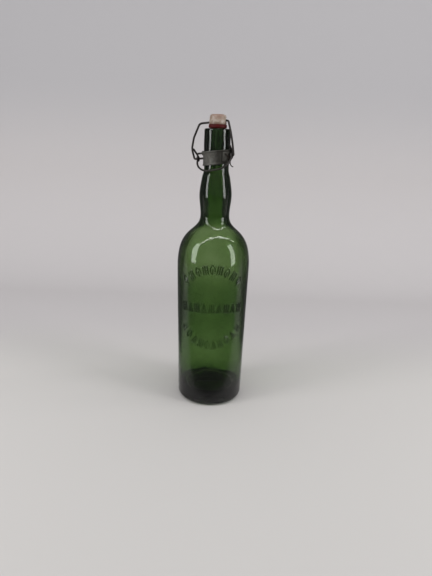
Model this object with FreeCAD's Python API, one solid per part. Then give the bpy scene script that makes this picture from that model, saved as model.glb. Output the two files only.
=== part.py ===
"""Tall green glass bottle with a wire-bail swing stopper.

The bottle stands on its resting ring at z = 0 with its axis on Z. The swing closure is a
flat metal strap round the finish, a thumb lever that pivots in the strap's two lugs, a bail
that hooks through the lever's eyes, and a porcelain stopper with a rubber gasket on the bail.
Millimetres throughout.
"""
import FreeCAD, Part
import math
import os

V = FreeCAD.Vector

# ---- Bottle, outside -------------------------------------------------------------------
lip_height = 300.0
foot_radius = 36.9
body_radius = 39.6
shoulder_height = 157.0
waist_radius = 15.6
waist_height = 212.0
bulge_radius = 17.25
bulge_height = 231.0
throat_radius = 13.0
throat_height = 261.5
collar_radius = 13.8
collar_height = 285.0
lip_radius = 13.5
lip_rounding = 1.4
heel_rounding = 6.0
ring_inner_radius = 28.5
ring_rounding = 2.5
punt_height = 20.0

# How the shoulder falls from the body to the waist: (share of the height, share of the drop)
shoulder_fall = ((0.20, 0.027), (0.455, 0.167), (0.673, 0.521), (0.782, 0.796), (0.891, 0.963))
# The neck's taper from its bulge to the throat, in the same terms
throat_fall = ((0.557, 0.424), (0.80, 0.80))

# ---- Bottle, inside --------------------------------------------------------------------
body_wall = 3.6
waist_wall = 5.0
bulge_wall = 5.4
throat_wall = 4.2
bore_radius = 8.5
mouth_rounding = 1.0
punt_glass = 7.0
valley_height = 8.5
valley_radius = 26.0

# ---- Closure frame ---------------------------------------------------------------------
# The strap sits askew on the finish: turned about the bottle's axis and tilted sideways.
strap_height_centre = 271.3
closure_turn = 20.0
closure_tilt = 7.0

# ---- Strap -----------------------------------------------------------------------------
strap_width = 14.0
strap_thickness = 0.7
strap_clearance = 0.15
hem_width = 1.3
hem_depth = 0.5
strap_lap_start = 22.0
strap_lap_end = 64.0
lug_radius = 2.3
lug_root = 3.0
lug_reach_left = 2.0
lug_reach_right = 0.7
pivot_above_centre = 5.7

# ---- Lever -----------------------------------------------------------------------------
lever_wire = 2.0
pivot_clearance = 0.06
eye_offset = 6.0
eye_lead_angle = 30.0
eye_outside_left = 6.07
eye_outside_right = 2.05
elbow_splay_left = 2.3
elbow_splay_right = 0.0
eye_clearance = 0.08
elbow_bend = 1.2
pin_entry = 0.3
loop_slope = 45.0
loop_depth_left = 20.5
loop_depth_right = 15.5
loop_bend_left = 16.0
loop_bend_right = 13.5
cut_end_forward = 5.0
cut_end_rise = 5.0
cut_end_splay_left = 3.5
cut_end_splay_right = -0.2

# ---- Bail ------------------------------------------------------------------------------
bail_wire = 2.1
hook_gap = 0.35
hook_tip_clearance_left = 0.8
hook_tip_clearance_right = 0.5
knee_slack_left = 1.6
crown_reach_left = 20.2
crown_reach_right = 11.2
crown_bend_left = 4.5
crown_bend_right = 2.4

# Long use has bent the legs unevenly. Each leg's bends from its knee upwards:
# (outwards from the knee, towards the back, share of the height to the stopper's hole, bend radius)
bail_left_leg = ((0, 0, 0, 1.8), (2.4, 0, 0.30, 14.0), (-0.6, 0, 0.62, 14.0))
bail_right_leg = ((0, 0, 0, 1.6), (-0.2, -1.6, 0.36, 14.0), (-0.9, -3.0, 0.66, 12.0))

# ---- Stopper ---------------------------------------------------------------------------
stopper_radius = 8.95
stopper_top_radius = 8.2
stopper_height = 9.8
stopper_top_rounding = 2.8
stopper_foot_rounding = 0.5
stopper_hole_above_foot = 2.8
stopper_hole_clearance = 0.08
gasket_radius = 9.35
gasket_thickness = 3.8
gasket_rounding = 1.1
gasket_lip_gap = 0.3
stud_radius = 4.5
stud_clearance = 0.05
stud_reach = 1.5
stud_rounding = 0.9

# ---- Tie wire --------------------------------------------------------------------------
tie_wire_size = 1.2
tie_clearance = 0.1
# Its bends down the strap: (bearing from the front, height from the throat, lift, bend radius)
tie_bends = (
    (34, 14.5, 0, 0),
    (50, 11.0, 0.3, 3.0),
    (58, 5.5, 0.3, 3.0),
    (66, 2.0, 1.2, 1.6),
    (76, 1.3, 2.4, 0),
)


# ---- The closure's own axes ------------------------------------------------------------
turn = math.radians(closure_turn)
tilt = math.radians(closure_tilt)
across = V(math.cos(turn) * math.cos(tilt), -math.sin(turn) * math.cos(tilt), math.sin(tilt))
back = V(math.sin(turn), math.cos(turn), 0)
rise = across.cross(back)
strap_centre = V(0, 0, strap_height_centre)


def closure_point(u, v, w):
    """A point given in the closure's axes: along the pivot, towards the back, up."""
    return strap_centre + across * u + back * v + rise * w


def closure_coordinates(point):
    """The same three coordinates of a point given in the bottle's frame."""
    offset = point - strap_centre
    return offset.dot(across), offset.dot(back), offset.dot(rise)


# ---- General shape helpers -------------------------------------------------------------
def at(radius, height):
    """A point of a half section, in the XZ plane."""
    return V(radius, 0, height)


def line(start, end):
    return Part.LineSegment(start, end).toShape()


def smooth_curve(points, start_direction, end_direction):
    """A smooth curve through the points that leaves and arrives in the given directions."""
    curve = Part.BSplineCurve()
    curve.interpolate(Points=points, InitialTangent=start_direction, FinalTangent=end_direction)
    return curve.toShape()


def round_corner(start, corner, end, radius):
    """The tangent arc of a corner between two straight runs: its two ends and its middle."""
    into = (start - corner).normalize()
    out = (end - corner).normalize()
    half_angle = into.getAngle(out) / 2
    setback = radius / math.tan(half_angle)
    centre = corner + (into + out).normalize() * (radius / math.sin(half_angle))
    middle = centre + (corner - centre).normalize() * radius
    return corner + into * setback, middle, corner + out * setback


def revolved(edges):
    """The solid of a closed half section turned about the bottle's axis."""
    outline = Part.Wire(Part.__sortEdges__(edges))
    return Part.Face(outline).revolve(V(0, 0, 0), V(0, 0, 1), 360)


def rounded_turning(corners):
    """A closed half section of straight runs, each corner given as (radius, height, rounding)."""
    points = [at(radius, height) for radius, height, rounding in corners]
    count = len(points)
    ends = []
    edges = []
    for index in range(count):
        rounding = corners[index][2]
        if rounding == 0:
            ends.append((points[index], points[index]))
            continue
        before = points[index - 1]
        after = points[(index + 1) % count]
        first, middle, last = round_corner(before, points[index], after, rounding)
        edges.append(Part.Arc(first, middle, last).toShape())
        ends.append((first, last))
    for index in range(count):
        start = ends[index][1]
        end = ends[(index + 1) % count][0]
        if start.distanceToPoint(end) > 1e-6:
            edges.append(line(start, end))
    return revolved(edges)


def bent_wire(stations, diameter):
    """Round wire along straight runs joined by tangent bends; a station is (point, bend radius)."""
    edges = []
    run_start = stations[0][0]
    for index in range(1, len(stations) - 1):
        corner, bend = stations[index]
        first, middle, last = round_corner(run_start, corner, stations[index + 1][0], bend)
        if run_start.distanceToPoint(first) > 1e-4:
            edges.append(line(run_start, first))
        edges.append(Part.Arc(first, middle, last).toShape())
        run_start = last
    edges.append(line(run_start, stations[-1][0]))
    path = Part.Wire(edges)
    heading = stations[1][0] - stations[0][0]
    section = Part.Wire([Part.Circle(stations[0][0], heading, diameter / 2).toShape()])
    wire = path.makePipeShell([section], True, False)
    return wire if wire.Volume > 0 else wire.reversed()


def rod(start, end, diameter):
    heading = end - start
    return Part.makeCylinder(diameter / 2, heading.Length, start, heading)


def slab(low, high):
    """Everything between two heights of the closure's tilted frame, wide enough for the neck."""
    side = 6 * collar_radius
    block = Part.makeBox(side, side, high - low, V(-side / 2, -side / 2, low))
    block.Placement = FreeCAD.Placement(strap_centre, FreeCAD.Rotation(across, back, rise, "ZXY"))
    return block


# ---- Bottle ----------------------------------------------------------------------------
def falling_points(start, end, shares):
    """Points between two (radius, height) stations, by their shares of the rise and the drop."""
    points = []
    for height_share, drop_share in shares:
        radius = start[0] + (end[0] - start[0]) * drop_share
        height = start[1] + (end[1] - start[1]) * height_share
        points.append(at(radius, height))
    return points


def neck_curve(body, waist, bulge, throat):
    """One smooth curve from the top of the body over shoulder, waist and bulge to the throat."""
    points = [at(*body)]
    points += falling_points(body, waist, shoulder_fall)
    points += [at(*waist), at(*bulge)]
    points += falling_points(bulge, throat, throat_fall)
    points.append(at(*throat))
    upwards = V(0, 0, 1)
    return smooth_curve(points, upwards, upwards)


def outside_edges():
    """The outer half section from the foot's resting ring up to the lip."""
    body = (body_radius, shoulder_height)
    throat = (throat_radius, throat_height)
    collar = at(collar_radius, collar_height)
    lip_edge = at(lip_radius, lip_height)
    foot = at(foot_radius, 0)
    ring = at(ring_inner_radius, 0)
    heel_start, heel_middle, heel_end = round_corner(ring, foot, at(*body), heel_rounding)
    mouth = at(bore_radius, lip_height)
    lip_start, lip_middle, lip_end = round_corner(collar, lip_edge, mouth, lip_rounding)
    edges = [
        Part.Arc(heel_start, heel_middle, heel_end).toShape(),
        line(heel_end, at(*body)),
        neck_curve(body, (waist_radius, waist_height), (bulge_radius, bulge_height), throat),
        line(at(*throat), collar),
        line(collar, lip_start),
        Part.Arc(lip_start, lip_middle, lip_end).toShape(),
    ]
    return edges, heel_start, lip_end


def punt_edges(ring_end):
    """The kick-up under the base: from its apex down to the resting ring."""
    apex = at(0, punt_height)
    flank = at(ring_inner_radius * 0.62, punt_height * 0.62)
    ring_edge = at(ring_inner_radius, 0)
    rim_start, rim_middle, rim_end = round_corner(flank, ring_edge, ring_end, ring_rounding)
    outward = V(1, 0, 0)
    return [
        smooth_curve([apex, flank, rim_start], outward, rim_start - flank),
        Part.Arc(rim_start, rim_middle, rim_end).toShape(),
        line(rim_end, ring_end),
    ]


def inside_edges(lip_end):
    """The inner half section from the mouth down to the top of the punt."""
    body = (body_radius - body_wall, shoulder_height)
    foot_wall = (foot_radius - body_wall, valley_height + heel_rounding)
    waist = (waist_radius - waist_wall, waist_height)
    bulge = (bulge_radius - bulge_wall, bulge_height)
    throat = (throat_radius - throat_wall, throat_height)
    mouth = at(bore_radius, lip_height)
    rim_start, rim_middle, rim_end = round_corner(lip_end, mouth, at(*throat), mouth_rounding)
    valley = at(valley_radius, valley_height)
    dome = at(valley_radius * 0.55, (valley_height + punt_height + punt_glass) * 0.60)
    apex = at(0, punt_height + punt_glass)
    outward = V(1, 0, 0)
    return [
        line(lip_end, rim_start),
        Part.Arc(rim_start, rim_middle, rim_end).toShape(),
        line(rim_end, at(*throat)),
        neck_curve(body, waist, bulge, throat),
        line(at(*body), at(*foot_wall)),
        smooth_curve([apex, dome, valley, at(*foot_wall)], outward, at(*body) - at(*foot_wall)),
    ]


def make_bottle():
    outer, heel_start, lip_end = outside_edges()
    closing = line(at(0, punt_height), at(0, punt_height + punt_glass))
    return revolved(outer + punt_edges(heel_start) + inside_edges(lip_end) + [closing])


# ---- Strap with its lugs ---------------------------------------------------------------
def finish_cone(growth):
    """The finish under the strap as a solid cone, grown by a radial allowance."""
    height = collar_height - throat_height
    return Part.makeCone(throat_radius + growth, collar_radius + growth, height, V(0, 0, throat_height))


def collar_slope_radius(height):
    share = (height - throat_height) / (collar_height - throat_height)
    return throat_radius + (collar_radius - throat_radius) * share


def strap_edge(side):
    """How far out along the pivot axis the strap's outer face lies, left (-1) or right (+1)."""
    u = 0.0
    for _ in range(20):
        point = closure_point(u, 0, pivot_above_centre)
        reach = collar_slope_radius(point.z) + strap_clearance + strap_thickness
        u = u + side * (reach - math.hypot(point.x, point.y))
    return u


def lap_sector(outer_radius):
    """The wedge of the strap's circle, towards the front right, that the strap's end laps over."""
    spread = strap_lap_end - strap_lap_start
    height = collar_height - throat_height
    wedge = Part.makeCylinder(outer_radius, height, V(0, 0, throat_height), V(0, 0, 1), spread)
    wedge.rotate(V(0, 0, 0), V(0, 0, 1), strap_lap_start - 90)
    return wedge


def make_strap():
    half = strap_width / 2
    outer = strap_clearance + strap_thickness
    strap = finish_cone(outer).common(slab(-half, half))
    for low in (-half, half - hem_width):
        strap = strap.fuse(finish_cone(outer + hem_depth).common(slab(low, low + hem_width)))
    lap = finish_cone(outer + strap_thickness).common(lap_sector(2 * collar_radius))
    strap = strap.fuse(lap.common(slab(hem_width - half, half - hem_width)))
    for side, reach in ((-1, lug_reach_left), (1, lug_reach_right)):
        edge = strap_edge(side)
        root_end = closure_point(edge - side * lug_root, 0, pivot_above_centre)
        tip = closure_point(edge + side * reach, 0, pivot_above_centre)
        strap = strap.fuse(rod(root_end, tip, 2 * lug_radius))
    strap = strap.cut(finish_cone(strap_clearance))
    far = 3 * collar_radius
    pin_hole = rod(
        closure_point(-far, 0, pivot_above_centre),
        closure_point(far, 0, pivot_above_centre),
        lever_wire + 2 * pivot_clearance,
    )
    return strap.cut(pin_hole).removeSplitter()


# ---- Lever -----------------------------------------------------------------------------
lead = math.radians(eye_lead_angle)
eye_v = -eye_offset * math.sin(lead)
eye_w = pivot_above_centre - eye_offset * math.cos(lead)
eye_hole_radius = bail_wire / 2 + eye_clearance
eye_ring_radius = eye_hole_radius + lever_wire / 2
eye_left = strap_edge(-1) - eye_outside_left
eye_right = strap_edge(1) + eye_outside_right


def lever_side(eye_u, elbow_splay, cut_end_splay, side):
    """One end of the lever: pin in the lug, arm down to the eye, and the wire's cut end."""
    pin_tip = closure_point(strap_edge(side) - side * pin_entry, 0, pivot_above_centre)
    elbow = closure_point(eye_u + side * elbow_splay, 0, pivot_above_centre)
    eye_centre = closure_point(eye_u, eye_v, eye_w)
    crown = closure_point(eye_u, 0, pivot_above_centre)
    ring_top = eye_centre + (crown - eye_centre).normalize() * eye_ring_radius
    cut_end_u = eye_u + side * cut_end_splay
    cut_end = closure_point(cut_end_u, -cut_end_forward, pivot_above_centre + cut_end_rise)
    pin_and_arm = bent_wire([(pin_tip, 0), (elbow, elbow_bend), (ring_top, 0)], lever_wire)
    ring = Part.makeTorus(eye_ring_radius, lever_wire / 2, eye_centre, across)
    tail = rod(elbow + (ring_top - elbow).normalize() * elbow_bend, cut_end, lever_wire)
    return ring.fuse([pin_and_arm, tail])


def make_lever():
    """Two eyed ends joined by the round thumb loop that hangs in front of the neck."""
    slope = math.radians(loop_slope)
    fall = back * -math.cos(slope) + rise * -math.sin(slope)
    left_eye = closure_point(eye_left, eye_v, eye_w)
    right_eye = closure_point(eye_right, eye_v, eye_w)
    loop = bent_wire(
        [
            (left_eye + fall * eye_ring_radius, 0),
            (left_eye + fall * loop_depth_left, loop_bend_left),
            (right_eye + fall * loop_depth_right, loop_bend_right),
            (right_eye + fall * eye_ring_radius, 0),
        ],
        lever_wire,
    )
    left = lever_side(eye_left, elbow_splay_left, cut_end_splay_left, -1)
    right = lever_side(eye_right, elbow_splay_right, cut_end_splay_right, 1)
    return loop.fuse([left, right])


# ---- Stopper and gasket ----------------------------------------------------------------
gasket_foot = lip_height + gasket_lip_gap
gasket_top = gasket_foot + gasket_thickness
stopper_foot = gasket_top
stopper_hole = V(0, 0, stopper_foot + stopper_hole_above_foot)
stud_end = lip_height - stud_reach


def make_stopper():
    """Porcelain cap with the stud that carries the gasket, drilled across for the bail."""
    top = stopper_foot + stopper_height
    body = rounded_turning([
        (0, stud_end, 0),
        (stud_radius, stud_end, stud_rounding),
        (stud_radius, stopper_foot, 0),
        (stopper_radius, stopper_foot, stopper_foot_rounding),
        (stopper_top_radius, top, stopper_top_rounding),
        (0, top, 0),
    ])
    reach = across * (2 * stopper_radius)
    bore = rod(stopper_hole - reach, stopper_hole + reach, bail_wire + 2 * stopper_hole_clearance)
    return body.cut(bore)


def make_gasket():
    inner = stud_radius + stud_clearance
    return rounded_turning([
        (inner, gasket_foot, 0),
        (gasket_radius, gasket_foot, gasket_rounding),
        (gasket_radius, gasket_top, gasket_rounding),
        (inner, gasket_top, 0),
    ])


# ---- Bail ------------------------------------------------------------------------------
def make_bail():
    """Spring wire from one lever eye over the stopper to the other."""
    hole_u, hole_v, hole_w = closure_coordinates(stopper_hole)
    height = hole_w - eye_w
    beside_eye = lever_wire / 2 + bail_wire / 2 + hook_gap
    knee_left = eye_left - beside_eye - knee_slack_left
    knee_right = eye_right + beside_eye

    def station(u, lean, share, bend):
        v = eye_v + (hole_v - eye_v) * share + lean
        return closure_point(u, v, eye_w + height * share), bend

    def leg(knee, side, bends):
        return [station(knee + side * out, lean, share, bend) for out, lean, share, bend in bends]

    stations = [station(strap_edge(-1) - hook_tip_clearance_left, 0, 0, 0)]
    stations += leg(knee_left, -1, bail_left_leg)
    stations.append(station(hole_u - crown_reach_left, 0, 1, crown_bend_left))
    stations.append(station(hole_u + crown_reach_right, 0, 1, crown_bend_right))
    stations += reversed(leg(knee_right, 1, bail_right_leg))
    stations.append(station(strap_edge(1) + hook_tip_clearance_right, 0, 0, 0))
    return bent_wire(stations, bail_wire)


# ---- Tie wire --------------------------------------------------------------------------
def make_tie_wire():
    """Thin binding wire laid down the strap's right side, its end curling free below."""
    gap = strap_clearance + 2 * strap_thickness + tie_wire_size / 2 + tie_clearance

    def station(bearing_deg, above_throat, lift, bend):
        height = throat_height + above_throat
        radius = collar_slope_radius(height) + gap + lift
        bearing = math.radians(bearing_deg - 90)
        return V(radius * math.cos(bearing), radius * math.sin(bearing), height), bend

    return bent_wire([station(*bends) for bends in tie_bends], tie_wire_size)


# ---- All pieces ------------------------------------------------------------------------
pieces = {
    "bottle": make_bottle,
    "neck_strap": make_strap,
    "tie_wire": make_tie_wire,
    "lever": make_lever,
    "bail": make_bail,
    "stopper": make_stopper,
    "gasket": make_gasket,
}

os.makedirs("parts", exist_ok=True)
for name, make in pieces.items():
    shape = make()
    if len(shape.Solids) != 1:
        raise ValueError(f"{name} came out as {len(shape.Solids)} solids")
    solid = shape.Solids[0]
    solid.exportStep("parts/" + name + ".step")
    print(name, "valid" if solid.isValid() else "NOT VALID", round(solid.Volume, 1))
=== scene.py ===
"""Dresses and lights the tall green bottle with its wire-bail swing stopper.

Lengths in the tables below are in millimetres; every mesh is made in metres in the CAD frame.
The glass is turned from its half section, the strap and its lugs are spun and pressed to shape,
and the bent wires, the stopper and the gasket are the CAD pieces with their own finishes.
"""

import math

import bmesh
import bpy
from mathutils import Matrix, Vector, geometry, noise


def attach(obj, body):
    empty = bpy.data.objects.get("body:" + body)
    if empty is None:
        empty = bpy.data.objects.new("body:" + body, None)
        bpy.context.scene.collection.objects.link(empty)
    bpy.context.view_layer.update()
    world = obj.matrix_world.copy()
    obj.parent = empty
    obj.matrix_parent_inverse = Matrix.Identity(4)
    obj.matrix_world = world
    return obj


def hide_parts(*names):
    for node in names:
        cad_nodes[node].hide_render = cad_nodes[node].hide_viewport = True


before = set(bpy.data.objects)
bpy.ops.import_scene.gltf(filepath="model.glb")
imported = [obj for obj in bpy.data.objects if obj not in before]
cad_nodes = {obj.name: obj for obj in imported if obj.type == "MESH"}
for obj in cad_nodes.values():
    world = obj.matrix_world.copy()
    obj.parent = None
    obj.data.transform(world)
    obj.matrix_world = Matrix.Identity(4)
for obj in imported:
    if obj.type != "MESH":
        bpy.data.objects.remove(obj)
bpy.context.view_layer.update()

MM = 0.001
UP = Vector((0, 0, 1))

# ---- The closure's askew frame on the neck, as in the CAD source ------------------------
CLOSURE_TURN = math.radians(20.0)
CLOSURE_TILT = math.radians(7.0)
STRAP_CENTRE = Vector((0, 0, 271.3)) * MM
ACROSS = Vector((
    math.cos(CLOSURE_TURN) * math.cos(CLOSURE_TILT),
    -math.sin(CLOSURE_TURN) * math.cos(CLOSURE_TILT),
    math.sin(CLOSURE_TILT),
))
BACK = Vector((math.sin(CLOSURE_TURN), math.cos(CLOSURE_TURN), 0))
RISE = ACROSS.cross(BACK)
PIVOT = STRAP_CENTRE + RISE * 5.7 * MM


# ---- Mesh tools -------------------------------------------------------------------------
def finish_piece(builder, name, body, finish, stands_for=()):
    """Turns a bmesh into a smooth piece that rides on a body and may stand for CAD nodes."""
    mesh = bpy.data.meshes.new(name)
    builder.to_mesh(mesh)
    builder.free()
    mesh.shade_smooth()
    mesh.materials.append(finish)
    piece = bpy.data.objects.new(name, mesh)
    bpy.context.scene.collection.objects.link(piece)
    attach(piece, body)
    if stands_for:
        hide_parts(*stands_for)
    return piece


def mesh_of_curve(curve):
    """The evaluated mesh of a curve, read once; the curve itself isn't kept in the scene."""
    holder = bpy.data.objects.new("former", curve)
    bpy.context.scene.collection.objects.link(holder)
    bpy.context.view_layer.update()
    graph = bpy.context.evaluated_depsgraph_get()
    mesh = bpy.data.meshes.new_from_object(holder.evaluated_get(graph))
    bpy.data.objects.remove(holder)
    return mesh


def lay_half_section(builder, stations, steps):
    """A smooth open chain through (radius, height) stations, drawn with automatic handles."""
    curve = bpy.data.curves.new("half_section", "CURVE")
    curve.dimensions = "3D"
    curve.resolution_u = steps
    spline = curve.splines.new("BEZIER")
    spline.bezier_points.add(len(stations) - 1)
    for knot, (radius, height) in zip(spline.bezier_points, stations):
        knot.co = Vector((radius, 0, height)) * MM
        knot.handle_left_type = "AUTO"
        knot.handle_right_type = "AUTO"
    builder.from_mesh(mesh_of_curve(curve))


def turn_chain(builder, start_bearing, sweeps):
    """Spins everything in the bmesh about the bottle's axis in sweeps of (degrees, steps)."""
    section = list(builder.verts) + list(builder.edges)
    bmesh.ops.rotate(
        builder,
        verts=builder.verts[:],
        cent=(0, 0, 0),
        matrix=Matrix.Rotation(math.radians(start_bearing), 3, "Z"),
    )
    for degrees, steps in sweeps:
        spun = bmesh.ops.spin(
            builder,
            geom=section,
            cent=(0, 0, 0),
            axis=UP,
            angle=math.radians(degrees),
            steps=steps,
        )
        section = spun["geom_last"]
    bmesh.ops.remove_doubles(builder, verts=builder.verts[:], dist=0.004 * MM)


def shift_radially(vertex, distance):
    """Moves a vertex away from the bottle's axis by a distance in millimetres."""
    radius = math.hypot(vertex.co.x, vertex.co.y)
    if radius > 1e-6:
        factor = 1 + distance * MM / radius
        vertex.co.x *= factor
        vertex.co.y *= factor


# ---- Bottle: half section ---------------------------------------------------------------
# The part's own stations, as (radius, height), and its roundings
FOOT_RADIUS = 36.9
BODY = (39.6, 157.0)
WAIST = (15.6, 212.0)
BULGE = (17.25, 231.0)
THROAT = (13.0, 261.5)
COLLAR = (13.8, 285.0)
LIP_RADIUS = 13.5
LIP_ROUNDING = 1.4
HEEL_ROUNDING = 6.0
RING_RADIUS = 28.5
RING_ROUNDING = 2.5
PUNT_HEIGHT = 20.0
PUNT_FLANK = 0.62
BORE_RADIUS = 8.5
MOUTH_ROUNDING = 1.0
# A hair under the CAD lip, because smoothing lifts its rounding a little
LIP_TOP = 299.98
# The lip's flat, from its inner radius to its outer one
LIP_FLAT = (10.4, 11.2)
# Where the ornamented part of the body starts
PANEL_FOOT = 62.83
# How the shoulder and the neck fall, as (share of the height, share of the drop)
SHOULDER_FALL = ((0.20, 0.027), (0.455, 0.167), (0.673, 0.521), (0.782, 0.796), (0.891, 0.963))
THROAT_FALL = ((0.557, 0.424), (0.80, 0.80))
# The finish under the strap, its collar softened
FINISH_STATIONS = ((13.3, 272.0), (13.75, 283.5), (13.75, 286.5), (13.6, 295.0))
# The inner wall from the mouth down to the punt, chosen to be wavier than the outer one
INSIDE_WALL = (
    (8.3, 290.0),
    (8.2, 270.0),
    (8.6, 261.5),
    (9.6, 256.1),
    (10.9, 250.9),
    (12.2, 240.2),
    (12.7, 231.0),
    (12.2, 224.0),
    (11.3, 213.3),
    (11.8, 207.9),
    (14.2, 203.0),
    (18.0, 199.3),
    (22.2, 195.9),
    (26.2, 192.2),
    (29.6, 188.1),
    (32.4, 183.3),
    (34.5, 178.3),
    (35.9, 173.0),
    (36.75, 167.8),
    (37.2, 157.0),
    (36.95, 148.0),
    (35.84, 130.0),
    (35.1, 106.0),
    (34.85, 76.0),
    (34.9, 58.0),
    (34.3, 28.0),
    (33.2, 21.0),
    (32.4, 17.5),
    (30.4, 15.4),
    (27.0, 14.8),
    (20.0, 17.8),
    (13.0, 22.3),
    (6.5, 25.8),
    (2.1, 26.9),
    (0, 27.0),
)
UPWARDS = (0, 1)
# How much harder than a parabola the CAD curve pulls upwards where it meets the throat
THROAT_PULL = 2.09
SETTLING_ROUNDS = 60


def falling_points(start, end, shares):
    """Stations between two others, by their shares of the rise and the drop."""
    start = Vector(start)
    reach = Vector(end) - start
    return [start + Vector((reach.x * drop, reach.y * rise)) for rise, drop in shares]


def even_steps(chain, count):
    """Points at even steps along a fine chain, with both of its ends."""
    lengths = [0.0]
    for before, after in zip(chain, chain[1:]):
        lengths.append(lengths[-1] + (after - before).length)
    points = [chain[0]]
    link = 0
    for step in range(1, count):
        wanted = lengths[-1] * step / count
        while lengths[link + 1] < wanted:
            link += 1
        share = (wanted - lengths[link]) / (lengths[link + 1] - lengths[link])
        points.append(chain[link].lerp(chain[link + 1], share))
    return points + [chain[-1]]


def end_slope(direction, last, next_to_last, spans):
    """A direction at a curve's end, at the pace of the parabola through its three end stations."""
    pace = last + (last - next_to_last) * spans[0] / (spans[0] + spans[1])
    direction = Vector(direction)
    return direction * (abs(pace.x) + abs(pace.y)) / (abs(direction.x) + abs(direction.y))


def smooth_run(stations, leaving, arriving, count, pull=1.0):
    """Even steps along the smooth curve through stations, with given directions at its ends."""
    knots = [Vector(station) for station in stations]
    spans = [(after - before).length for before, after in zip(knots, knots[1:])]
    runs = [(knots[index + 1] - knots[index]) / span for index, span in enumerate(spans)]
    slopes = [end_slope(leaving, runs[0], runs[1], spans[:2])]
    slopes += [Vector((0, 0))] * (len(knots) - 2)
    slopes.append(end_slope(arriving, runs[-1], runs[-2], (spans[-1], spans[-2])) * pull)
    for _ in range(SETTLING_ROUNDS):
        for index in range(1, len(knots) - 1):
            before = spans[index - 1]
            after = spans[index]
            rise = (knots[index] - knots[index - 1]) * (3 * after / before)
            fall = (knots[index + 1] - knots[index]) * (3 * before / after)
            pull = rise + fall - slopes[index - 1] * after - slopes[index + 1] * before
            slopes[index] = pull / (2 * (before + after))
    chain = [knots[0]]
    for index, span in enumerate(spans):
        first = knots[index] + slopes[index] * (span / 3)
        second = knots[index + 1] - slopes[index + 1] * (span / 3)
        chain += geometry.interpolate_bezier(knots[index], first, second, knots[index + 1], 60)[1:]
    return even_steps([point.to_2d() for point in chain], count)


def round_corner(start, corner, end, radius, count):
    """Even steps round the tangent arc of a corner between two straight runs."""
    corner = Vector(corner)
    into = (Vector(start) - corner).normalized()
    out = (Vector(end) - corner).normalized()
    half_angle = into.angle(out) / 2
    centre = corner + (into + out).normalized() * (radius / math.sin(half_angle))
    first = corner + into * (radius / math.tan(half_angle)) - centre
    last = corner + out * (radius / math.tan(half_angle)) - centre
    swing = first.angle_signed(last)
    return [centre + Matrix.Rotation(-swing * step / count, 2) @ first for step in range(count + 1)]


def outer_runs():
    """The outer half section from the punt up to the lip, in runs of (stations, steps between)."""
    heel = round_corner((RING_RADIUS, 0), (FOOT_RADIUS, 0), BODY, HEEL_ROUNDING, 8)
    flank = Vector((RING_RADIUS, PUNT_HEIGHT)) * PUNT_FLANK
    ring = round_corner(flank, (RING_RADIUS, 0), heel[0], RING_ROUNDING, 4)
    punt = smooth_run(((0, PUNT_HEIGHT), flank, ring[0]), (1, 0), ring[0] - flank, 16)
    shoulder = falling_points(BODY, WAIST, SHOULDER_FALL)
    taper = falling_points(BULGE, THROAT, THROAT_FALL)
    stations = (BODY, *shoulder, WAIST, BULGE, *taper, THROAT)
    neck = smooth_run(stations, UPWARDS, UPWARDS, 25, THROAT_PULL)
    lip = round_corner(COLLAR, (LIP_RADIUS, LIP_TOP), (BORE_RADIUS, LIP_TOP), LIP_ROUNDING, 3)
    rise = (PANEL_FOOT - heel[-1].y) / (BODY[1] - heel[-1].y)
    panel_foot = heel[-1].lerp(Vector(BODY), rise)
    return (
        (punt[:-1] + ring + heel, 1),
        (even_steps((heel[-1], panel_foot), 3), 6),
        (even_steps((panel_foot, Vector(BODY)), 16), 12),
        (neck[:4], 9),
        (neck[3:] + [*FINISH_STATIONS, *lip, (LIP_FLAT[1], LIP_TOP)], 3),
    )


def inside_stations():
    """The inner half section from the lip down to the middle of the punt."""
    lip_end = (LIP_FLAT[0], LIP_TOP)
    mouth = round_corner(lip_end, (BORE_RADIUS, LIP_TOP), INSIDE_WALL[0], MOUTH_ROUNDING, 2)
    return [lip_end, *mouth, *INSIDE_WALL]


# ---- Bottle: turning --------------------------------------------------------------------
# Sweeps about the axis as (degrees, steps): finer across the front, where the ornament is
FRONT_FAN = (110, 184)
REST_FAN = (250, 60)
INSIDE_FANS = ((110, 32), (250, 64))
FIRST_BEARING = -145
# The inner wall's own waves, which stop short of the lip
INSIDE_WAVE_TOP = 290
INSIDE_WAVE_SIZE = 22
INSIDE_WAVE_DEPTH = 0.45
INSIDE_WAVE_START = Vector((9.1, 4.4, 1.2))

# ---- Bottle: raised ornament ------------------------------------------------------------
# Strokes of one motif, in millimetres: its two ends, each along the row and up from its middle
LEAF = (
    (0, -4.9, -2.5, -2.0),
    (-2.5, -2.0, -2.3, 1.9),
    (-2.3, 1.9, 0, 4.9),
    (0, 4.9, 2.3, 1.9),
    (2.3, 1.9, 2.5, -2.0),
    (0, -4.9, 0, 0.6),
)
CHEVRON = (
    (-2.7, -4.7, 0, 4.7),
    (0, 4.7, 2.7, -4.7),
    (0, -4.7, 0, 0.2),
)
SHEAF = (
    (-2.4, -4.6, -2.4, 4.2),
    (0, -4.6, 0, 4.6),
    (2.4, -4.6, 2.4, 4.2),
    (-2.4, -0.4, 2.4, -0.4),
)
STROKE_REACH = 0.85
STROKE_HEIGHT = 0.6
ORNAMENT_RADIUS = 39.6
ORNAMENT_FOOT = 55
ORNAMENT_TOP = 175
# Rows of the ornament: middle height, sag per square millimetre, motifs in turn, count, half span
ORNAMENT_ROWS = (
    (161.0, -0.0150, (LEAF, SHEAF), 9, 31.0),
    (118.2, -0.0016, (SHEAF, CHEVRON), 9, 33.0),
    (76.0, 0.0145, (SHEAF, LEAF, CHEVRON), 10, 33.5),
)


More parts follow.
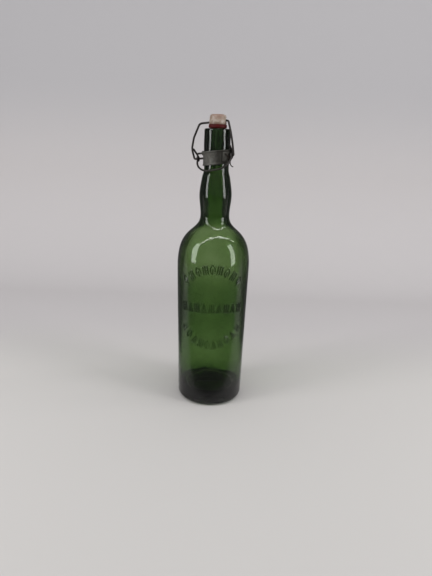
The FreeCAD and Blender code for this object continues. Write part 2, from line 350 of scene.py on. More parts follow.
def ornament_strokes():
    """Every stroke of the three rows as (arc, height, arc, height) on the unrolled body."""
    strokes = []
    for middle, sag, motifs, count, half_span in ORNAMENT_ROWS:
        pitch = 2 * half_span / (count - 1)
        for number in range(count):
            arc = -half_span + number * pitch
            height = middle + sag * arc * arc
            lean = math.atan(2 * sag * arc)
            for x1, y1, x2, y2 in motifs[number % len(motifs)]:
                strokes.append((
                    arc + x1 * math.cos(lean) - y1 * math.sin(lean),
                    height + x1 * math.sin(lean) + y1 * math.cos(lean),
                    arc + x2 * math.cos(lean) - y2 * math.sin(lean),
                    height + x2 * math.sin(lean) + y2 * math.cos(lean),
                ))
    return strokes


def stroke_distance(arc, height, stroke):
    """How far a point of the unrolled body lies from one stroke's middle line."""
    x1, y1, x2, y2 = stroke
    run = Vector((x2 - x1, y2 - y1))
    offset = Vector((arc - x1, height - y1))
    share = max(0.0, min(1.0, offset.dot(run) / run.length_squared))
    return (offset - run * share).length


def raise_ornament(builder):
    """Lifts the glass along the strokes, with the soft edges of a worn mould."""
    strokes = ornament_strokes()
    # This layer marks the strokes where the glass finish paints shade, strongest along their middles
    darkening = builder.verts.layers.float.new("stroke_shade")
    columns = {}
    for stroke in strokes:
        low = math.floor(min(stroke[0], stroke[2]) - STROKE_REACH)
        high = math.ceil(max(stroke[0], stroke[2]) + STROKE_REACH)
        for column in range(low, high + 1):
            columns.setdefault(column, []).append(stroke)
    for vertex in builder.verts:
        height = vertex.co.z / MM
        if not ORNAMENT_FOOT < height < ORNAMENT_TOP:
            continue
        arc = ORNAMENT_RADIUS * math.atan2(vertex.co.x, -vertex.co.y)
        nearby = columns.get(round(arc), ())
        if not nearby:
            continue
        distance = min(stroke_distance(arc, height, stroke) for stroke in nearby)
        if distance < STROKE_REACH:
            share = 1 - distance / STROKE_REACH
            lift = share * share * (3 - 2 * share)
            shift_radially(vertex, STROKE_HEIGHT * lift)
            vertex[darkening] = min(1.0, 1.3 * share)


def wave_surface(builder, size, depth, seed):
    """Gives poured glass its slow waves, all of them inwards so that none stands proud."""
    offset = Vector((seed, 0, seed * 2))
    for vertex in builder.verts:
        value = noise.noise(vertex.co / (size * MM) + offset)
        shift_radially(vertex, depth * (value - 1) / 2)


def make_glass(finish):
    """One closed shell: outside with its ornament, the lip, and the wavier inside."""
    outside = bmesh.new()
    for stations, steps in outer_runs():
        lay_half_section(outside, stations, steps)
    bmesh.ops.remove_doubles(outside, verts=outside.verts[:], dist=0.004 * MM)
    turn_chain(outside, FIRST_BEARING, (FRONT_FAN, REST_FAN))
    wave_surface(outside, size=34, depth=0.16, seed=3.7)
    raise_ornament(outside)
    inside = bmesh.new()
    lay_half_section(inside, inside_stations(), 2)
    turn_chain(inside, FIRST_BEARING, INSIDE_FANS)
    for vertex in inside.verts:
        if vertex.co.z < INSIDE_WAVE_TOP * MM:
            value = noise.noise(vertex.co / (INSIDE_WAVE_SIZE * MM) + INSIDE_WAVE_START)
            shift_radially(vertex, INSIDE_WAVE_DEPTH * value)
    scrap = bpy.data.meshes.new("inside")
    inside.to_mesh(scrap)
    inside.free()
    outside.from_mesh(scrap)
    lip_rims = [edge for edge in outside.edges if edge.is_boundary]
    bmesh.ops.bridge_loops(outside, edges=lip_rims)
    bmesh.ops.recalc_face_normals(outside, faces=outside.faces[:])
    return finish_piece(outside, "green_bottle", "body", finish, ("bottle",))


# ---- Strap ------------------------------------------------------------------------------
STRAP_CLEARANCE = 0.15
STRAP_THICKNESS = 0.7
# Half section of the rolled strap: (gap from the finish, height from the strap's middle)
STRAP_SECTION = (
    (0.15, -7.0),
    (0.15, -3.5),
    (0.15, 0),
    (0.15, 3.5),
    (0.15, 7.0),
    (0.75, 7.15),
    (1.35, 6.85),
    (1.35, 5.95),
    (0.9, 5.55),
    (0.85, 4.6),
    (0.85, 3.2),
    (0.85, 1.6),
    (0.85, 0),
    (0.85, -1.6),
    (0.85, -3.2),
    (0.85, -4.6),
    (0.9, -5.55),
    (1.35, -5.95),
    (1.35, -6.85),
    (0.75, -7.15),
)
LAP_SECTION = (
    (0.95, -5.3),
    (0.95, 0),
    (0.95, 5.3),
    (1.6, 5.4),
    (1.6, 3.6),
    (1.6, 1.8),
    (1.6, 0),
    (1.6, -1.8),
    (1.6, -3.6),
    (1.6, -5.4),
)
# Where the lap starts, in degrees from the front, and how far it runs on
LAP_BEARING = 22
LAP_SPAN = 42
# The drilled lugs: side of the neck, and how far each reaches out
LUGS = ((-1, 2.0), (1, 0.7))


def finish_radius(height):
    """The glass finish's radius under the strap at a height, both in millimetres."""
    share = (height - THROAT[1]) / (COLLAR[1] - THROAT[1])
    return THROAT[0] + (COLLAR[0] - THROAT[0]) * share


def lay_ring(builder, section):
    """A closed outline in the XZ plane, standing at the throat's radius."""
    corners = [builder.verts.new(Vector((THROAT[0] + gap, 0, height)) * MM) for gap, height in section]
    for index, corner in enumerate(corners):
        builder.edges.new((corners[index - 1], corner))


def seat_on_finish(builder, lift):
    """Lays a straight ring askew on the tapered finish; lift adds its dents."""
    lean = math.tan(CLOSURE_TILT)
    for vertex in builder.verts:
        radius = math.hypot(vertex.co.x, vertex.co.y)
        gap = radius / MM - THROAT[0]
        east = vertex.co.x / radius
        north = vertex.co.y / radius
        bearing = math.degrees(math.atan2(east, -north))
        local_height = vertex.co.z / MM
        along = east * math.cos(CLOSURE_TURN) - north * math.sin(CLOSURE_TURN)
        height = STRAP_CENTRE.z / MM + local_height + along * (THROAT[0] + gap) * lean
        settled = finish_radius(height) + gap + lift(bearing, local_height, gap)
        vertex.co = Vector((east * settled, north * settled, height)) * MM


def strap_edge(side):
    """How far along the pivot axis the strap's outer face lies, left (-1) or right (+1)."""
    reach = 0.0
    for _ in range(SETTLING_ROUNDS):
        point = (PIVOT + ACROSS * reach * MM) / MM
        face = finish_radius(point.z) + STRAP_CLEARANCE + STRAP_THICKNESS
        reach += side * (face - math.hypot(point.x, point.y))
    return reach


def strap_dents(bearing, height, gap):
    """Outward dents and wrinkles of the old strap; its inner face stays off the glass."""
    point = Vector((bearing / 14, height / 3.2, 1.5))
    rough = 0.16 + 0.34 * math.exp(-((bearing - 55) / 28) ** 2)
    share = max(0.0, min(1.0, gap / 0.8))
    return rough * share * (0.5 + noise.noise(point))


def lap_dents(bearing, height, _gap):
    """The strap's free end: crumpled, and curling away from the neck towards its tip."""
    point = Vector((bearing / 9, height / 2.1, 7.5))
    curl = max(0.0, (bearing - 48) / 16) ** 2 * 0.7
    return 0.12 + curl + 0.45 * max(0.0, noise.noise(point))


def add_lug(builder, side, face, reach):
    """A drilled round lug on the pivot axis: its section spun about that axis."""
    start = PIVOT + ACROSS * (face - side * 1.4) * MM
    end = PIVOT + ACROSS * (face + side * reach) * MM
    bore = RISE * 1.06 * MM
    skin = RISE * 2.3 * MM
    rim = ACROSS * (side * 0.35 * MM)
    ring = [start + bore, end + bore, end + skin * 0.86, end - rim + skin, start + skin]
    corners = [builder.verts.new(point) for point in ring]
    outline = [builder.edges.new((corners[index - 1], corner)) for index, corner in enumerate(corners)]
    bmesh.ops.spin(
        builder,
        geom=corners + outline,
        cent=PIVOT,
        axis=ACROSS,
        angle=math.tau,
        steps=28,
        use_merge=True,
    )


def make_strap(finish):
    band = bmesh.new()
    lay_ring(band, STRAP_SECTION)
    bmesh.ops.spin(
        band,
        geom=band.verts[:] + band.edges[:],
        cent=(0, 0, 0),
        axis=UP,
        angle=math.tau,
        steps=150,
        use_merge=True,
    )
    seat_on_finish(band, strap_dents)
    lap = bmesh.new()
    lay_ring(lap, LAP_SECTION)
    lap_turn = Matrix.Rotation(math.radians(LAP_BEARING - 90), 3, "Z")
    bmesh.ops.rotate(lap, verts=lap.verts[:], cent=(0, 0, 0), matrix=lap_turn)
    bmesh.ops.contextual_create(lap, geom=lap.edges[:])
    first = lap.verts[:] + lap.edges[:] + lap.faces[:]
    bmesh.ops.spin(lap, geom=first, cent=(0, 0, 0), axis=UP, angle=math.radians(LAP_SPAN), steps=26)
    seat_on_finish(lap, lap_dents)
    scrap = bpy.data.meshes.new("lap")
    lap.to_mesh(scrap)
    lap.free()
    band.from_mesh(scrap)
    for side, reach in LUGS:
        add_lug(band, side, strap_edge(side), reach)
    bmesh.ops.recalc_face_normals(band, faces=band.faces[:])
    return finish_piece(band, "zinc_strap", "body", finish, ("neck_strap",))


# ---- Tie wire ---------------------------------------------------------------------------
# The twisted binding wire's route: bearing from the front, height, lift off the strap
TIE_ROUTE = (
    (34, 276.0, 0.0),
    (43, 274.6, 0.2),
    (51, 271.8, 0.45),
    (57, 268.2, 0.5),
    (62, 265.2, 0.8),
    (68, 263.4, 1.5),
    (76, 262.8, 2.4),
)
STRAND_SIZE = 0.62
STRAND_TURNS = 5.5
TIE_GAP = 2.25


def route_points(stations, count):
    """Points read along the smooth spline of a route."""
    curve = bpy.data.curves.new("route", "CURVE")
    curve.dimensions = "3D"
    curve.resolution_u = count
    spline = curve.splines.new("NURBS")
    spline.points.add(len(stations) - 1)
    for knot, point in zip(spline.points, stations):
        knot.co = (*point, 1)
    spline.order_u = 3
    spline.use_endpoint_u = True
    return [vertex.co.copy() for vertex in mesh_of_curve(curve).vertices]


def strand_tube(builder, points, diameter):
    """A round tube along the points, added to the bmesh."""
    curve = bpy.data.curves.new("strand", "CURVE")
    curve.dimensions = "3D"
    curve.bevel_depth = diameter / 2
    curve.bevel_resolution = 3
    curve.use_fill_caps = True
    spline = curve.splines.new("POLY")
    spline.points.add(len(points) - 1)
    for knot, point in zip(spline.points, points):
        knot.co = (*point, 1)
    builder.from_mesh(mesh_of_curve(curve))


def make_tie_wire(finish):
    stations = []
    for bearing, height, lift in TIE_ROUTE:
        radius = finish_radius(height) + TIE_GAP + lift
        angle = math.radians(bearing)
        stations.append(Vector((radius * math.sin(angle), -radius * math.cos(angle), height)) * MM)
    route = route_points(stations, 10)
    builder = bmesh.new()
    for phase in (0, math.pi):
        strand = []
        for index, point in enumerate(route):
            ahead = route[min(index + 1, len(route) - 1)]
            behind = route[max(index - 1, 0)]
            along = (ahead - behind).normalized()
            outward = Vector((point.x, point.y, 0))
            outward = (outward - along * outward.dot(along)).normalized()
            turned = phase + math.tau * STRAND_TURNS * index / (len(route) - 1)
            offset = outward * math.cos(turned) + along.cross(outward) * math.sin(turned)
            strand.append(point + offset * STRAND_SIZE * 0.5 * MM)
        strand_tube(builder, strand, STRAND_SIZE * MM)
    bmesh.ops.remove_doubles(builder, verts=builder.verts[:], dist=0.002 * MM)
    bmesh.ops.recalc_face_normals(builder, faces=builder.faces[:])
    return finish_piece(builder, "twisted_tie_wire", "body", finish, ("tie_wire",))


# ---- Node tools -------------------------------------------------------------------------
def place(tree, kind, inputs=None, **settings):
    """Adds a node; an input given as a socket is linked, and any other value is set."""
    made = tree.nodes.new(kind)
    for name, value in settings.items():
        setattr(made, name, value)
    for name, value in (inputs or {}).items():
        if isinstance(value, bpy.types.NodeSocket):
            tree.links.new(value, made.inputs[name])
        else:
            made.inputs[name].default_value = value
    return made


def scene_linear(red, green, blue):
    """A colour picked as 0-255 display values, as the renderer's linear values."""
    return tuple((value / 255) ** 2.2 for value in (red, green, blue)) + (1,)


def ramp_between(tree, value, low, high, to_low=0.0, to_high=1.0):
    inputs = {0: value, 1: low, 2: high, 3: to_low, 4: to_high}
    return place(tree, "ShaderNodeMapRange", inputs, interpolation_type="SMOOTHSTEP").outputs[0]


def mix_colours(tree, factor, first, second, blend="MIX"):
    inputs = {0: factor, 6: first, 7: second}
    return place(tree, "ShaderNodeMix", inputs, data_type="RGBA", blend_type=blend).outputs[2]


def calculate(tree, operation, first, second):
    return place(tree, "ShaderNodeMath", {0: first, 1: second}, operation=operation).outputs[0]


def object_noise(tree, scale, detail=4.0, roughness=0.55, distortion=0.0, vector=None):
    if vector is None:
        vector = place(tree, "ShaderNodeTexCoord").outputs["Object"]
    inputs = {
        "Vector": vector,
        "Scale": scale,
        "Detail": detail,
        "Roughness": roughness,
        "Distortion": distortion,
    }
    return place(tree, "ShaderNodeTexNoise", inputs).outputs["Fac"]


def start_group(name, wanted, given):
    """A node group with named inputs (name, socket type, default) and named outputs."""
    tree = bpy.data.node_groups.new(name, "ShaderNodeTree")
    for label, kind, default in wanted:
        socket = tree.interface.new_socket(label, in_out="INPUT", socket_type=kind)
        socket.default_value = default
    for label, kind in given:
        tree.interface.new_socket(label, in_out="OUTPUT", socket_type=kind)
    return tree, place(tree, "NodeGroupInput").outputs, place(tree, "NodeGroupOutput")


def use_group(tree, group, **inputs):
    made = place(tree, "ShaderNodeGroup", node_tree=group)
    for name, value in inputs.items():
        socket = made.inputs[name.replace("_", " ")]
        if isinstance(value, bpy.types.NodeSocket):
            tree.links.new(value, socket)
        else:
            socket.default_value = value
    return made.outputs


def make_patch_group():
    """Blotches of any effect: a mask that is 1 inside irregular patches."""
    tree, wanted, given = start_group(
        "patches",
        (
            ("Scale", "NodeSocketFloat", 100.0),
            ("Cover", "NodeSocketFloat", 0.4),
            ("Softness", "NodeSocketFloat", 0.08),
        ),
        (("Mask", "NodeSocketFloat"),),
    )
    blotch = object_noise(tree, wanted["Scale"], 6.0, 0.62, 0.4)
    edge = calculate(tree, "SUBTRACT", 0.8, calculate(tree, "MULTIPLY", wanted["Cover"], 0.6))
    low = calculate(tree, "SUBTRACT", edge, wanted["Softness"])
    high = calculate(tree, "ADD", edge, wanted["Softness"])
    tree.links.new(ramp_between(tree, blotch, low, high), given.inputs["Mask"])
    return tree


def make_oxide_group(patches):
    """Bare metal that darkens and rusts in patches: its colour, and where the rust sits."""
    tree, wanted, given = start_group(
        "oxide",
        (
            ("Metal", "NodeSocketColor", (0.2, 0.2, 0.2, 1)),
            ("Dark Oxide", "NodeSocketColor", (0.05, 0.035, 0.025, 1)),
            ("Rust", "NodeSocketColor", (0.25, 0.1, 0.04, 1)),
            ("Scale", "NodeSocketFloat", 200.0),
            ("Oxide Cover", "NodeSocketFloat", 0.5),
            ("Rust Cover", "NodeSocketFloat", 0.3),
        ),
        (("Color", "NodeSocketColor"), ("Mask", "NodeSocketFloat")),
    )
    dark = use_group(tree, patches, Scale=wanted["Scale"], Cover=wanted["Oxide Cover"], Softness=0.14)[0]
    finer = calculate(tree, "MULTIPLY", wanted["Scale"], 2.3)
    rust = use_group(tree, patches, Scale=finer, Cover=wanted["Rust Cover"], Softness=0.07)[0]
    fleck = ramp_between(tree, object_noise(tree, 2600.0, 3.0), 0.3, 0.7, 0.62, 1.25)
    rust_colour = mix_colours(tree, 1.0, wanted["Rust"], fleck, "MULTIPLY")
    dulled = mix_colours(tree, dark, wanted["Metal"], wanted["Dark Oxide"])
    tree.links.new(mix_colours(tree, rust, dulled, rust_colour), given.inputs["Color"])
    dull = calculate(tree, "MULTIPLY", dark, 0.55)
    tree.links.new(calculate(tree, "MAXIMUM", rust, dull), given.inputs["Mask"])
    return tree


def make_relief_group():
    """Fine relief of an old surface: pits and grain turned into a normal."""
    tree, wanted, given = start_group(
        "worn_relief",
        (
            ("Scale", "NodeSocketFloat", 900.0),
            ("Depth", "NodeSocketFloat", 0.0001),
            ("Pitting", "NodeSocketFloat", 0.5),
        ),
        (("Normal", "NodeSocketVector"), ("Pits", "NodeSocketFloat")),
    )
    grain = object_noise(tree, wanted["Scale"], 5.0, 0.6)
    coordinate = place(tree, "ShaderNodeTexCoord").outputs["Object"]
    cell_scale = calculate(tree, "MULTIPLY", wanted["Scale"], 0.8)
    cells = place(tree, "ShaderNodeTexVoronoi", {"Vector": coordinate, "Scale": cell_scale})
    pits = ramp_between(tree, cells.outputs["Distance"], 0.1, 0.38, 1.0, 0.0)
    dug = calculate(tree, "MULTIPLY", pits, wanted["Pitting"])
    height = calculate(tree, "SUBTRACT", grain, dug)
    bump = place(tree, "ShaderNodeBump", {"Height": height, "Distance": wanted["Depth"], "Strength": 1.0})
    tree.links.new(bump.outputs[0], given.inputs["Normal"])
    tree.links.new(pits, given.inputs["Pits"])
    return tree


def start_finish(name):
    """A fresh material with a Principled shader on its output."""
    finish = bpy.data.materials.new(name)
    finish.use_nodes = True
    tree = finish.node_tree
    tree.nodes.clear()
    shader = place(tree, "ShaderNodeBsdfPrincipled")
    output = place(tree, "ShaderNodeOutputMaterial", {"Surface": shader.outputs[0]})
    return finish, tree, shader, output


# ---- Finishes ---------------------------------------------------------------------------
def make_green_glass(patches):
    """Bottle glass: its green comes from the depth of glass that light passes.

    The surface carries painted shade along the ornament's strokes, and dirt: a thin film in
    patches and dark runs down the neck. Part of the lamps' light shines through.
    """
    finish, tree, shader, output = start_finish("bottle_green_glass")
    stroke_shade = place(tree, "ShaderNodeAttribute", attribute_name="stroke_shade").outputs["Fac"]
    uneven = ramp_between(tree, object_noise(tree, 90.0, 3.0), 0.35, 0.65, 0.75, 1.0)
    darkening = calculate(tree, "MULTIPLY", stroke_shade, uneven)
    film = use_group(tree, patches, Scale=75.0, Cover=0.5, Softness=0.3)[0]
    coordinate = place(tree, "ShaderNodeTexCoord").outputs["Object"]
    stretched = place(
        tree,
        "ShaderNodeVectorMath",
        {0: coordinate, 1: (1.0, 1.0, 0.07)},
        operation="MULTIPLY",
    )
    runs = object_noise(tree, 520.0, 3.0, vector=stretched.outputs[0])
    level = place(tree, "ShaderNodeSeparateXYZ", {0: coordinate}).outputs["Z"]
    inside_neck = ramp_between(tree, level, 0.2, 0.275)
    residue = calculate(tree, "MULTIPLY", ramp_between(tree, runs, 0.42, 0.62, 0.3, 0.95), inside_neck)
    dusty = mix_colours(tree, film, (1.0, 1.0, 1.0, 1), (0.9, 0.9, 0.86, 1))
    dusty = mix_colours(tree, residue, dusty, (0.42, 0.42, 0.36, 1))
    # Painted shade: the raised strokes are darkened nearly to black, unevenly along them
    tree.links.new(mix_colours(tree, darkening, dusty, (0.06, 0.06, 0.06, 1)), shader.inputs["Base Color"])
    shader.inputs["Transmission Weight"].default_value = 1.0
    shader.inputs["IOR"].default_value = 1.5
    scuffs = use_group(tree, patches, Scale=260.0, Cover=0.25, Softness=0.1)[0]
    tree.links.new(ramp_between(tree, scuffs, 0.0, 1.0, 0.0, 0.06), shader.inputs["Roughness"])
    slow = object_noise(tree, 70.0, 2.0, 0.5)
    fine = calculate(tree, "MULTIPLY", object_noise(tree, 420.0, 3.0, 0.5), 0.08)
    height = calculate(tree, "ADD", slow, fine)
    waves = place(tree, "ShaderNodeBump", {"Height": height, "Distance": 0.00035, "Strength": 1.0})
    tree.links.new(waves.outputs[0], shader.inputs["Normal"])
    depth_colour = place(
        tree,
        "ShaderNodeVolumeAbsorption",
        {"Color": (0.34, 0.55, 0.12, 1), "Density": 575.0},
    )
    tree.links.new(depth_colour.outputs[0], output.inputs["Volume"])
    lamp_ray = place(tree, "ShaderNodeLightPath").outputs["Is Shadow Ray"]
    passing = place(tree, "ShaderNodeBsdfTransparent", {"Color": (0.74, 0.79, 0.68, 1)})
    both = place(tree, "ShaderNodeMixShader", {0: lamp_ray, 1: shader.outputs[0], 2: passing.outputs[0]})
    tree.links.new(both.outputs[0], output.inputs["Surface"])
    return finish


def make_metal(name, groups, metal, dark, rust, scale, covers, depth, metallic, gloss, right_darkness=0.0):
    """Aged metal, rougher and less metallic where it has oxidised; right_darkness darkens its right side.
    """
    patches, oxide, relief = groups
    finish, tree, shader, _ = start_finish(name)
    colour, mask = use_group(
        tree,
        oxide,
        Metal=metal,
        Dark_Oxide=dark,
        Rust=rust,
        Scale=scale,
        Oxide_Cover=covers[0],
        Rust_Cover=covers[1],
    )
    darkening = use_group(tree, patches, Scale=scale * 0.45, Cover=0.4, Softness=0.25)[0]
    shaded = mix_colours(tree, calculate(tree, "MULTIPLY", darkening, 0.45), colour, dark)
    coordinate = place(tree, "ShaderNodeTexCoord").outputs["Object"]
    across = place(tree, "ShaderNodeSeparateXYZ", {0: coordinate}).outputs["X"]
    wander = calculate(tree, "MULTIPLY", object_noise(tree, 260.0, 4.0), 0.012)
    ragged = calculate(tree, "ADD", across, wander)
    # Darkens the right side of the piece towards a dark grey
    right_mask = ramp_between(tree, ragged, 0.002, 0.008, 0.0, right_darkness)
    shaded = mix_colours(tree, right_mask, shaded, scene_linear(44, 42, 36))
    tree.links.new(shaded, shader.inputs["Base Color"])
    tree.links.new(ramp_between(tree, mask, 0.0, 1.0, metallic, 0.05), shader.inputs["Metallic"])
    tree.links.new(ramp_between(tree, mask, 0.0, 1.0, gloss, 0.85), shader.inputs["Roughness"])
    normal = use_group(tree, relief, Scale=1500.0, Depth=depth, Pitting=0.7)["Normal"]
    tree.links.new(normal, shader.inputs["Normal"])
    return finish


def make_porcelain(patches, relief):
    """Cream glaze with fine crazing, a brown stain on the crown and a darker band round the foot."""
    finish, tree, shader, _ = start_finish("glazed_porcelain")
    coordinate = place(tree, "ShaderNodeTexCoord").outputs["Object"]
    warm = use_group(tree, patches, Scale=210.0, Cover=0.5, Softness=0.14)[0]
    glaze = mix_colours(tree, warm, scene_linear(180, 170, 157), scene_linear(140, 122, 106))
    cells = place(
        tree,
        "ShaderNodeTexVoronoi",
        {"Vector": coordinate, "Scale": 420.0},
        feature="DISTANCE_TO_EDGE",
    )
    crazing = ramp_between(tree, cells.outputs["Distance"], 0.0, 0.035, 0.55, 0.0)
    glaze = mix_colours(tree, crazing, glaze, scene_linear(120, 100, 78))
    stain_spot = place(
        tree,
        "ShaderNodeVectorMath",
        {0: coordinate, 1: (0.0, -0.0035, 0.3125)},
        operation="DISTANCE",
    ).outputs["Value"]
    ragged = calculate(tree, "MULTIPLY", object_noise(tree, 330.0, 5.0, 0.6), 0.006)
    stain = ramp_between(tree, calculate(tree, "ADD", stain_spot, ragged), 0.006, 0.012, 0.8, 0.0)
    glaze = mix_colours(tree, stain, glaze, scene_linear(146, 114, 100))
    height = place(tree, "ShaderNodeSeparateXYZ", {0: coordinate}).outputs["Z"]
    wander = calculate(tree, "MULTIPLY", object_noise(tree, 260.0, 4.0), 0.006)
    ragged_height = calculate(tree, "SUBTRACT", height, wander)
    # A darker band round the foot of the stopper, its upper edge ragged
    foot = ramp_between(tree, ragged_height, 0.3015, 0.3045, 0.85, 0.0)
    glaze = mix_colours(tree, foot, glaze, scene_linear(112, 88, 74))
    tree.links.new(glaze, shader.inputs["Base Color"])
    tree.links.new(ramp_between(tree, warm, 0.0, 1.0, 0.42, 0.6), shader.inputs["Roughness"])
    shader.inputs["Coat Weight"].default_value = 0.25
    shader.inputs["Coat Roughness"].default_value = 0.28
    normal = use_group(tree, relief, Scale=700.0, Depth=0.00004, Pitting=0.4)["Normal"]
    tree.links.new(normal, shader.inputs["Normal"])
    return finish


def make_red_rubber(patches, relief):
    """Perished red rubber, bloomed and cracked."""
    finish, tree, shader, _ = start_finish("perished_red_rubber")
    bloom = use_group(tree, patches, Scale=300.0, Cover=0.4, Softness=0.2)[0]
    colour = mix_colours(tree, bloom, scene_linear(74, 8, 9), scene_linear(88, 24, 22))
    detail = use_group(tree, relief, Scale=1100.0, Depth=0.00009, Pitting=0.8)
    cracks = calculate(tree, "MULTIPLY", detail["Pits"], 0.5)
    colour = mix_colours(tree, cracks, colour, scene_linear(40, 8, 8))
    tree.links.new(colour, shader.inputs["Base Color"])
    tree.links.new(ramp_between(tree, bloom, 0.0, 1.0, 0.5, 0.8), shader.inputs["Roughness"])
    shader.inputs["Specular IOR Level"].default_value = 0.25
    tree.links.new(detail["Normal"], shader.inputs["Normal"])
    return finish


# ---- Studio, in metres, degrees and watts -----------------------------------------------
PAPER_WIDTH = 6.0
PAPER_FRONT = -3.0
BEND_START = 0.36
BEND_RADIUS = 0.22
WALL_RISE = 0.9
LIGHTS_AIM = Vector((0, 0, 0.18))
WINDOW_BEARING = 65
WINDOW_DISTANCE = 0.95
WINDOW_HEIGHT = 0.46
WINDOW_SIZE = (0.28, 0.8)
WINDOW_POWER = 3.6
CEILING_PLACE = (0.08, -0.24, 1.1)
CEILING_SIZE = (2.4, 0.06)
CEILING_POWER = 3.8
CAMERA_PLACE = (0.004, -0.517, 0.2895)
CAMERA_DOWN = 17.2
CAMERA_ROLL = 2.03


def make_backdrop():
    """A pale floor that sweeps up behind the bottle, painted darker towards the back and up the wall as
    painted shade.

    Bent and mirrored rays see parts of it darker, like the unlit room round a small set, and
    so the bottle gets its dark rims.
    """
    sweep = bmesh.new()
    first = sweep.verts.new((-PAPER_WIDTH / 2, PAPER_FRONT, 0))
    second = sweep.verts.new((-PAPER_WIDTH / 2, BEND_START, 0))
    sweep.edges.new((first, second))
    bend = bmesh.ops.spin(
        sweep,
        geom=[second],
        cent=(0, BEND_START, BEND_RADIUS),
        axis=(1, 0, 0),
        angle=math.radians(90),
        steps=16,
    )
    top = [item for item in bend["geom_last"] if isinstance(item, bmesh.types.BMVert)]
    risen = bmesh.ops.extrude_vert_indiv(sweep, verts=top)
    bmesh.ops.translate(sweep, verts=risen["verts"], vec=(0, 0, WALL_RISE))
    across = bmesh.ops.extrude_edge_only(sweep, edges=sweep.edges[:])
    far_side = [item for item in across["geom"] if isinstance(item, bmesh.types.BMVert)]
    bmesh.ops.translate(sweep, verts=far_side, vec=(PAPER_WIDTH, 0, 0))
    bmesh.ops.recalc_face_normals(sweep, faces=sweep.faces[:])
    mesh = bpy.data.meshes.new("paper_sweep")
    sweep.to_mesh(mesh)
    sweep.free()
    mesh.shade_smooth()
    backdrop = bpy.data.objects.new("paper_sweep", mesh)
    bpy.context.scene.collection.objects.link(backdrop)
    finish, tree, shader, _ = start_finish("pale_paper")
    coordinate = place(tree, "ShaderNodeTexCoord").outputs["Object"]
    place_of = place(tree, "ShaderNodeSeparateXYZ", {0: coordinate}).outputs
    depth = place_of["Y"]
    sideways = calculate(tree, "ABSOLUTE", place_of["X"], 0.0)
    high_up = ramp_between(tree, place_of["Z"], 0.2, 0.42)
    # Painted shade: the paper's colour darkens going back and up the wall
    wall = mix_colours(tree, high_up, scene_linear(201, 197, 197), scene_linear(186, 184, 186))
    colour = mix_colours(tree, ramp_between(tree, depth, 0.03, 0.24), scene_linear(205, 202, 199), wall)
    paths = place(tree, "ShaderNodeLightPath").outputs
    aside = ramp_between(tree, sideways, 0.16, 0.34, 0.0, 0.85)
    beside = ramp_between(tree, sideways, 0.05, 0.15, 0.0, 0.8)
    slant = calculate(tree, "SUBTRACT", depth, calculate(tree, "MULTIPLY", sideways, 0.3))
    behind = ramp_between(tree, slant, -0.06, 0.06)
    in_front = ramp_between(tree, depth, -0.075, -0.041, 0.75, 0.0)
    darkened = calculate(tree, "MULTIPLY", aside, behind)
    seen_through = calculate(tree, "MULTIPLY", darkened, paths["Is Transmission Ray"])
    unlit = calculate(tree, "MAXIMUM", in_front, calculate(tree, "MULTIPLY", beside, behind))
    mirrored = calculate(tree, "MULTIPLY", unlit, paths["Is Glossy Ray"])
    dimmed = calculate(tree, "MAXIMUM", seen_through, mirrored)
    colour = mix_colours(tree, dimmed, colour, (0.03, 0.03, 0.03, 1))
    tree.links.new(colour, shader.inputs["Base Color"])
    shader.inputs["Roughness"].default_value = 0.9
    shader.inputs["Specular IOR Level"].default_value = 0.1
    mesh.materials.append(finish)


def add_soft_light(name, place_at, size, power):
    """A rectangular soft light that faces the bottle's middle."""
    data = bpy.data.lights.new(name, "AREA")
    data.shape = "RECTANGLE"
    data.size = size[0]
    data.size_y = size[1]
    data.energy = power
    lamp = bpy.data.objects.new(name, data)
    bpy.context.scene.collection.objects.link(lamp)
    lamp.location = place_at
    aim = LIGHTS_AIM - lamp.location
    lamp.rotation_euler = aim.to_track_quat("-Z", "Y").to_euler()


def light_studio():
    """Two tall windows at the sides, a thin strip above, and a room that fills in the rest."""
    bearing = math.radians(WINDOW_BEARING)
    across = WINDOW_DISTANCE * math.sin(bearing)
    forward = WINDOW_DISTANCE * math.cos(bearing)
    for name, sign in (("left_window", -1), ("right_window", 1)):
        spot = (sign * across, -forward, WINDOW_HEIGHT)
        add_soft_light(name, spot, WINDOW_SIZE, WINDOW_POWER)
    add_soft_light("ceiling_light", CEILING_PLACE, CEILING_SIZE, CEILING_POWER)
    world = bpy.data.worlds.new("room")
    world.use_nodes = True
    tree = world.node_tree
    tree.nodes.clear()
    paths = place(tree, "ShaderNodeLightPath")
    seen = place(tree, "ShaderNodeBackground", {"Color": scene_linear(190, 187, 187), "Strength": 1.0})
    less_mirrored = calculate(tree, "MULTIPLY", paths.outputs["Is Glossy Ray"], -0.36)
    less_through = calculate(tree, "MULTIPLY", paths.outputs["Is Transmission Ray"], -0.08)
    strength = calculate(tree, "ADD", 0.56, calculate(tree, "ADD", less_mirrored, less_through))
    fill = place(tree, "ShaderNodeBackground", {"Color": (0.97, 0.98, 1.0, 1), "Strength": strength})
    mixed = place(
        tree,
        "ShaderNodeMixShader",
        {0: paths.outputs["Is Camera Ray"], 1: fill.outputs[0], 2: seen.outputs[0]},
    )
    place(tree, "ShaderNodeOutputWorld", {"Surface": mixed.outputs[0]})
    bpy.context.scene.world = world


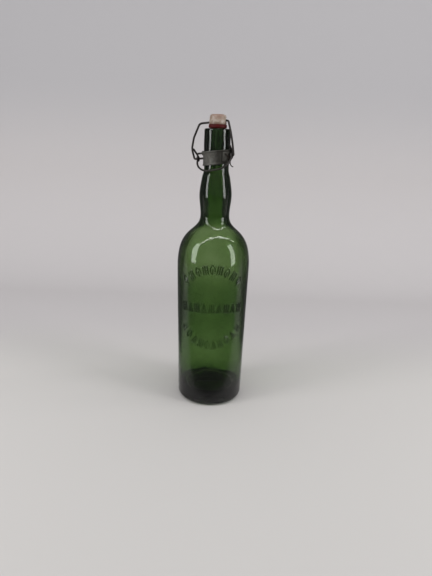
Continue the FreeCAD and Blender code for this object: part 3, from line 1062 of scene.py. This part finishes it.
def set_camera():
    data = bpy.data.cameras.new("camera")
    data.lens = 30
    data.sensor_width = 36
    camera = bpy.data.objects.new("camera", data)
    bpy.context.scene.collection.objects.link(camera)
    pitch = Matrix.Rotation(math.radians(90 - CAMERA_DOWN), 4, "X")
    roll = Matrix.Rotation(math.radians(CAMERA_ROLL), 4, "Z")
    camera.matrix_world = Matrix.Translation(CAMERA_PLACE) @ pitch @ roll
    bpy.context.scene.camera = camera


# ---- Putting it together ----------------------------------------------------------------
set_camera()
patches = make_patch_group()
oxide = make_oxide_group(patches)
relief = make_relief_group()
wire_finish = make_metal(
    "oxidised_wire",
    (patches, oxide, relief),
    metal=scene_linear(80, 77, 76),
    dark=scene_linear(48, 43, 41),
    rust=scene_linear(84, 62, 50),
    scale=170.0,
    covers=(0.55, 0.22),
    depth=0.00012,
    metallic=0.75,
    gloss=0.42,
)
tie_finish = make_metal(
    "rusty_tie_wire",
    (patches, oxide, relief),
    metal=scene_linear(84, 77, 70),
    dark=scene_linear(48, 41, 35),
    rust=scene_linear(92, 66, 48),
    scale=420.0,
    covers=(0.6, 0.3),
    depth=0.0001,
    metallic=0.5,
    gloss=0.55,
)
zinc_finish = make_metal(
    "dull_zinc",
    (patches, oxide, relief),
    metal=scene_linear(112, 112, 107),
    dark=scene_linear(84, 82, 77),
    rust=scene_linear(62, 54, 46),
    scale=190.0,
    covers=(0.5, 0.26),
    depth=0.00008,
    metallic=0.7,
    gloss=0.5,
    right_darkness=0.75,
)
porcelain_finish = make_porcelain(patches, relief)
rubber_finish = make_red_rubber(patches, relief)
glass_finish = make_green_glass(patches)

make_glass(glass_finish)
make_strap(zinc_finish)
make_tie_wire(tie_finish)
for node_name, node_finish in (
    ("lever", wire_finish),
    ("bail", wire_finish),
    ("stopper", porcelain_finish),
    ("gasket", rubber_finish),
):
    cad_nodes[node_name].material_slots[0].material = node_finish

make_backdrop()
light_studio()

scene = bpy.context.scene
scene.view_settings.view_transform = "Standard"
bpy.context.view_layer.update()
